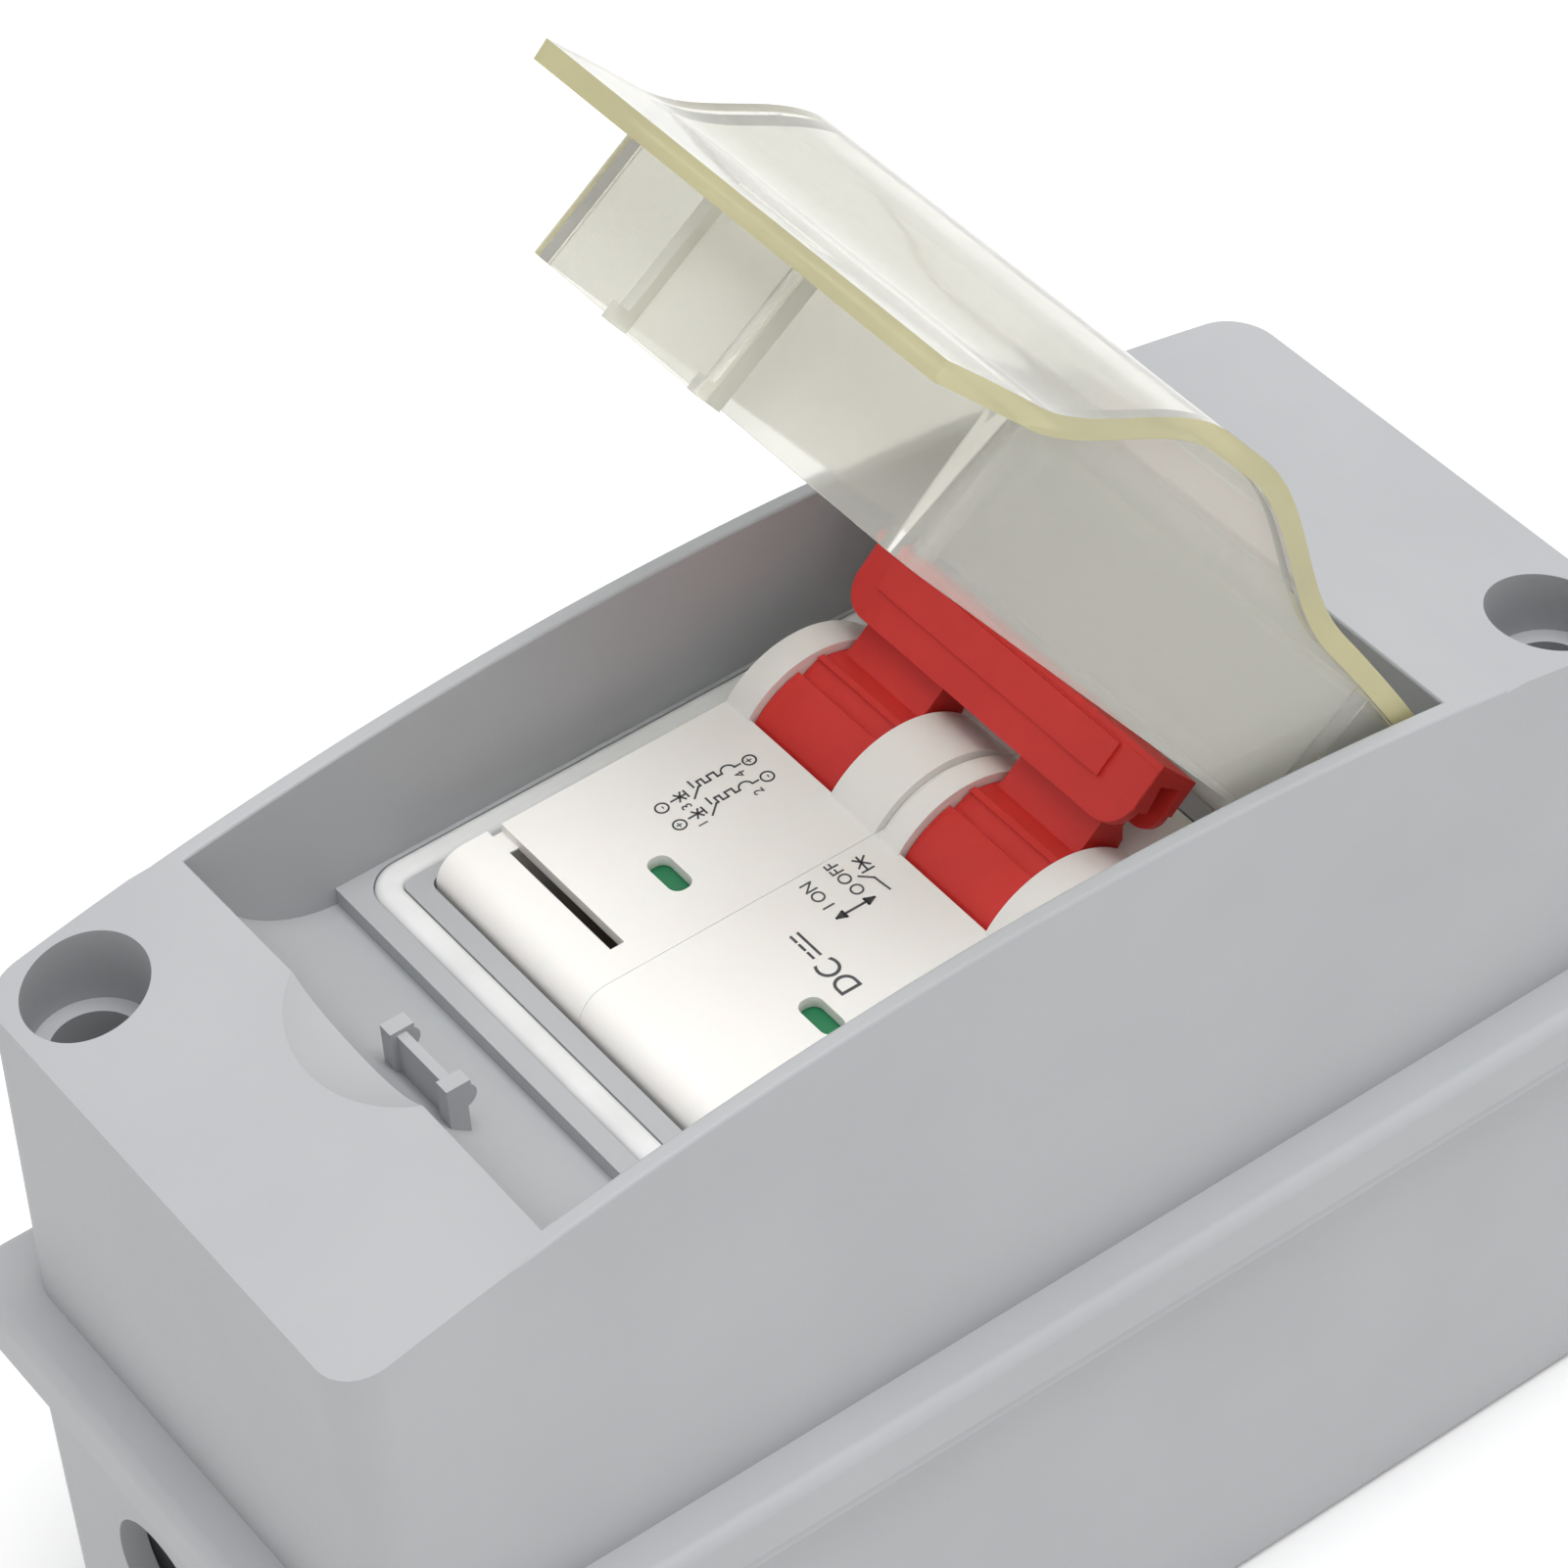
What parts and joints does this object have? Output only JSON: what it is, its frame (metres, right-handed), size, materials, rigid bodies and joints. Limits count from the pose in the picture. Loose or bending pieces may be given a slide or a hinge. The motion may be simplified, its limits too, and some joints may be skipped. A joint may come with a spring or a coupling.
{
  "type": "dc combiner box",
  "caption": "Small weatherproof box for a direct-current circuit: a breaker on a rail under an arched cover with a recessed window and a clear hinged lid.",
  "frame": {"origin": "centre of the flat back face that goes against the wall", "axes": "+X along the box from its latch end to its hinge end, +Y across it to the far side, +Z out of the front face"},
  "size_m": [0.1218, 0.0556, 0.1301],
  "materials": {
    "shell_grey": "fine matt mould texture",
    "black_rubber": "matt",
    "white_rubber": "satin",
    "clear_lid": "clear moulded plastic, faintly smoked",
    "zinc_steel": "bright zinc plate",
    "breaker_cream": "satin",
    "toggle_red": "satin gloss",
    "flag_green": "satin",
    "dark_plastic": "matt",
    "copper": "bare copper",
    "brass": "bare",
    "silver": "satin",
    "fibre": "matt"
  },
  "bodies": {
    "box": {"base_shell": "shell_grey", "cover_shell": "shell_grey", "cover_seal": "black_rubber", "cover_screws": "zinc_steel", "cover_inserts": "brass", "window_seal": "white_rubber", "din_rail": "zinc_steel", "rail_screws": "zinc_steel", "far_pole_case": "breaker_cream", "far_pole_cover": "breaker_cream", "near_pole_case": "breaker_cream", "near_pole_cover": "breaker_cream", "case_rivets": "zinc_steel", "toggle_pins": "zinc_steel", "contact_shaft": "dark_plastic", "fixed_contacts": "copper", "contact_tips": "silver", "arc_chute_plates": "zinc_steel", "arc_chute_frames": "fibre", "blowout_magnets": "dark_plastic", "trip_coils": "copper", "coil_bobbins": "dark_plastic", "trip_plungers": "zinc_steel", "bimetal_strips": "silver", "terminal_cages": "zinc_steel", "terminal_straps": "copper", "terminal_screws": "zinc_steel", "clip_springs": "zinc_steel"},
    "lid": {"window_lid": "clear_lid"},
    "handle": {"toggle_far": "toggle_red", "toggle_near": "toggle_red", "handle_tie_bar": "toggle_red"},
    "contacts": {"moving_contacts": "copper"},
    "flags": {"flag_far": "flag_green", "flag_near": "flag_green"},
    "clip_far": {"rail_clip_far": "breaker_cream"},
    "clip_near": {"rail_clip_near": "breaker_cream"}
  },
  "joints": [
    {"name": "lid_hinge", "type": "hinge", "parent": "box", "child": "lid", "pos_m": [0.0296, 0, 0.0733], "axis": [0, 1, 0], "range_deg": [-54.8, 5.2]},
    {"name": "toggle_hinge", "type": "hinge", "parent": "box", "child": "handle", "pos_m": [0.0096, 0, 0.0637], "axis": [0, 1, 0], "range_deg": [-70, 0]},
    {"name": "contact_hinge", "type": "hinge", "parent": "box", "child": "contacts", "pos_m": [0.001, 0, 0.046], "axis": [0, 1, 0], "range_deg": [-12, 0]},
    {"name": "flag_slide", "type": "slide", "parent": "box", "child": "flags", "axis": [-1, 0, 0], "range_m": [0, 0.0036]},
    {"name": "clip_far_slide", "type": "slide", "parent": "box", "child": "clip_far", "axis": [-1, 0, 0], "range_m": [0, 0.0035], "stiffness_N_per_m": 600, "springref_m": -0.001},
    {"name": "clip_near_slide", "type": "slide", "parent": "box", "child": "clip_near", "axis": [-1, 0, 0], "range_m": [0, 0.0035], "stiffness_N_per_m": 600, "springref_m": -0.001}
  ],
  "couplings": [
    {"joint": "contact_hinge", "follows": "toggle_hinge", "ratio": 0.17141},
    {"joint": "flag_slide", "follows": "toggle_hinge", "m_per_rad": -0.0027829}
  ]
}
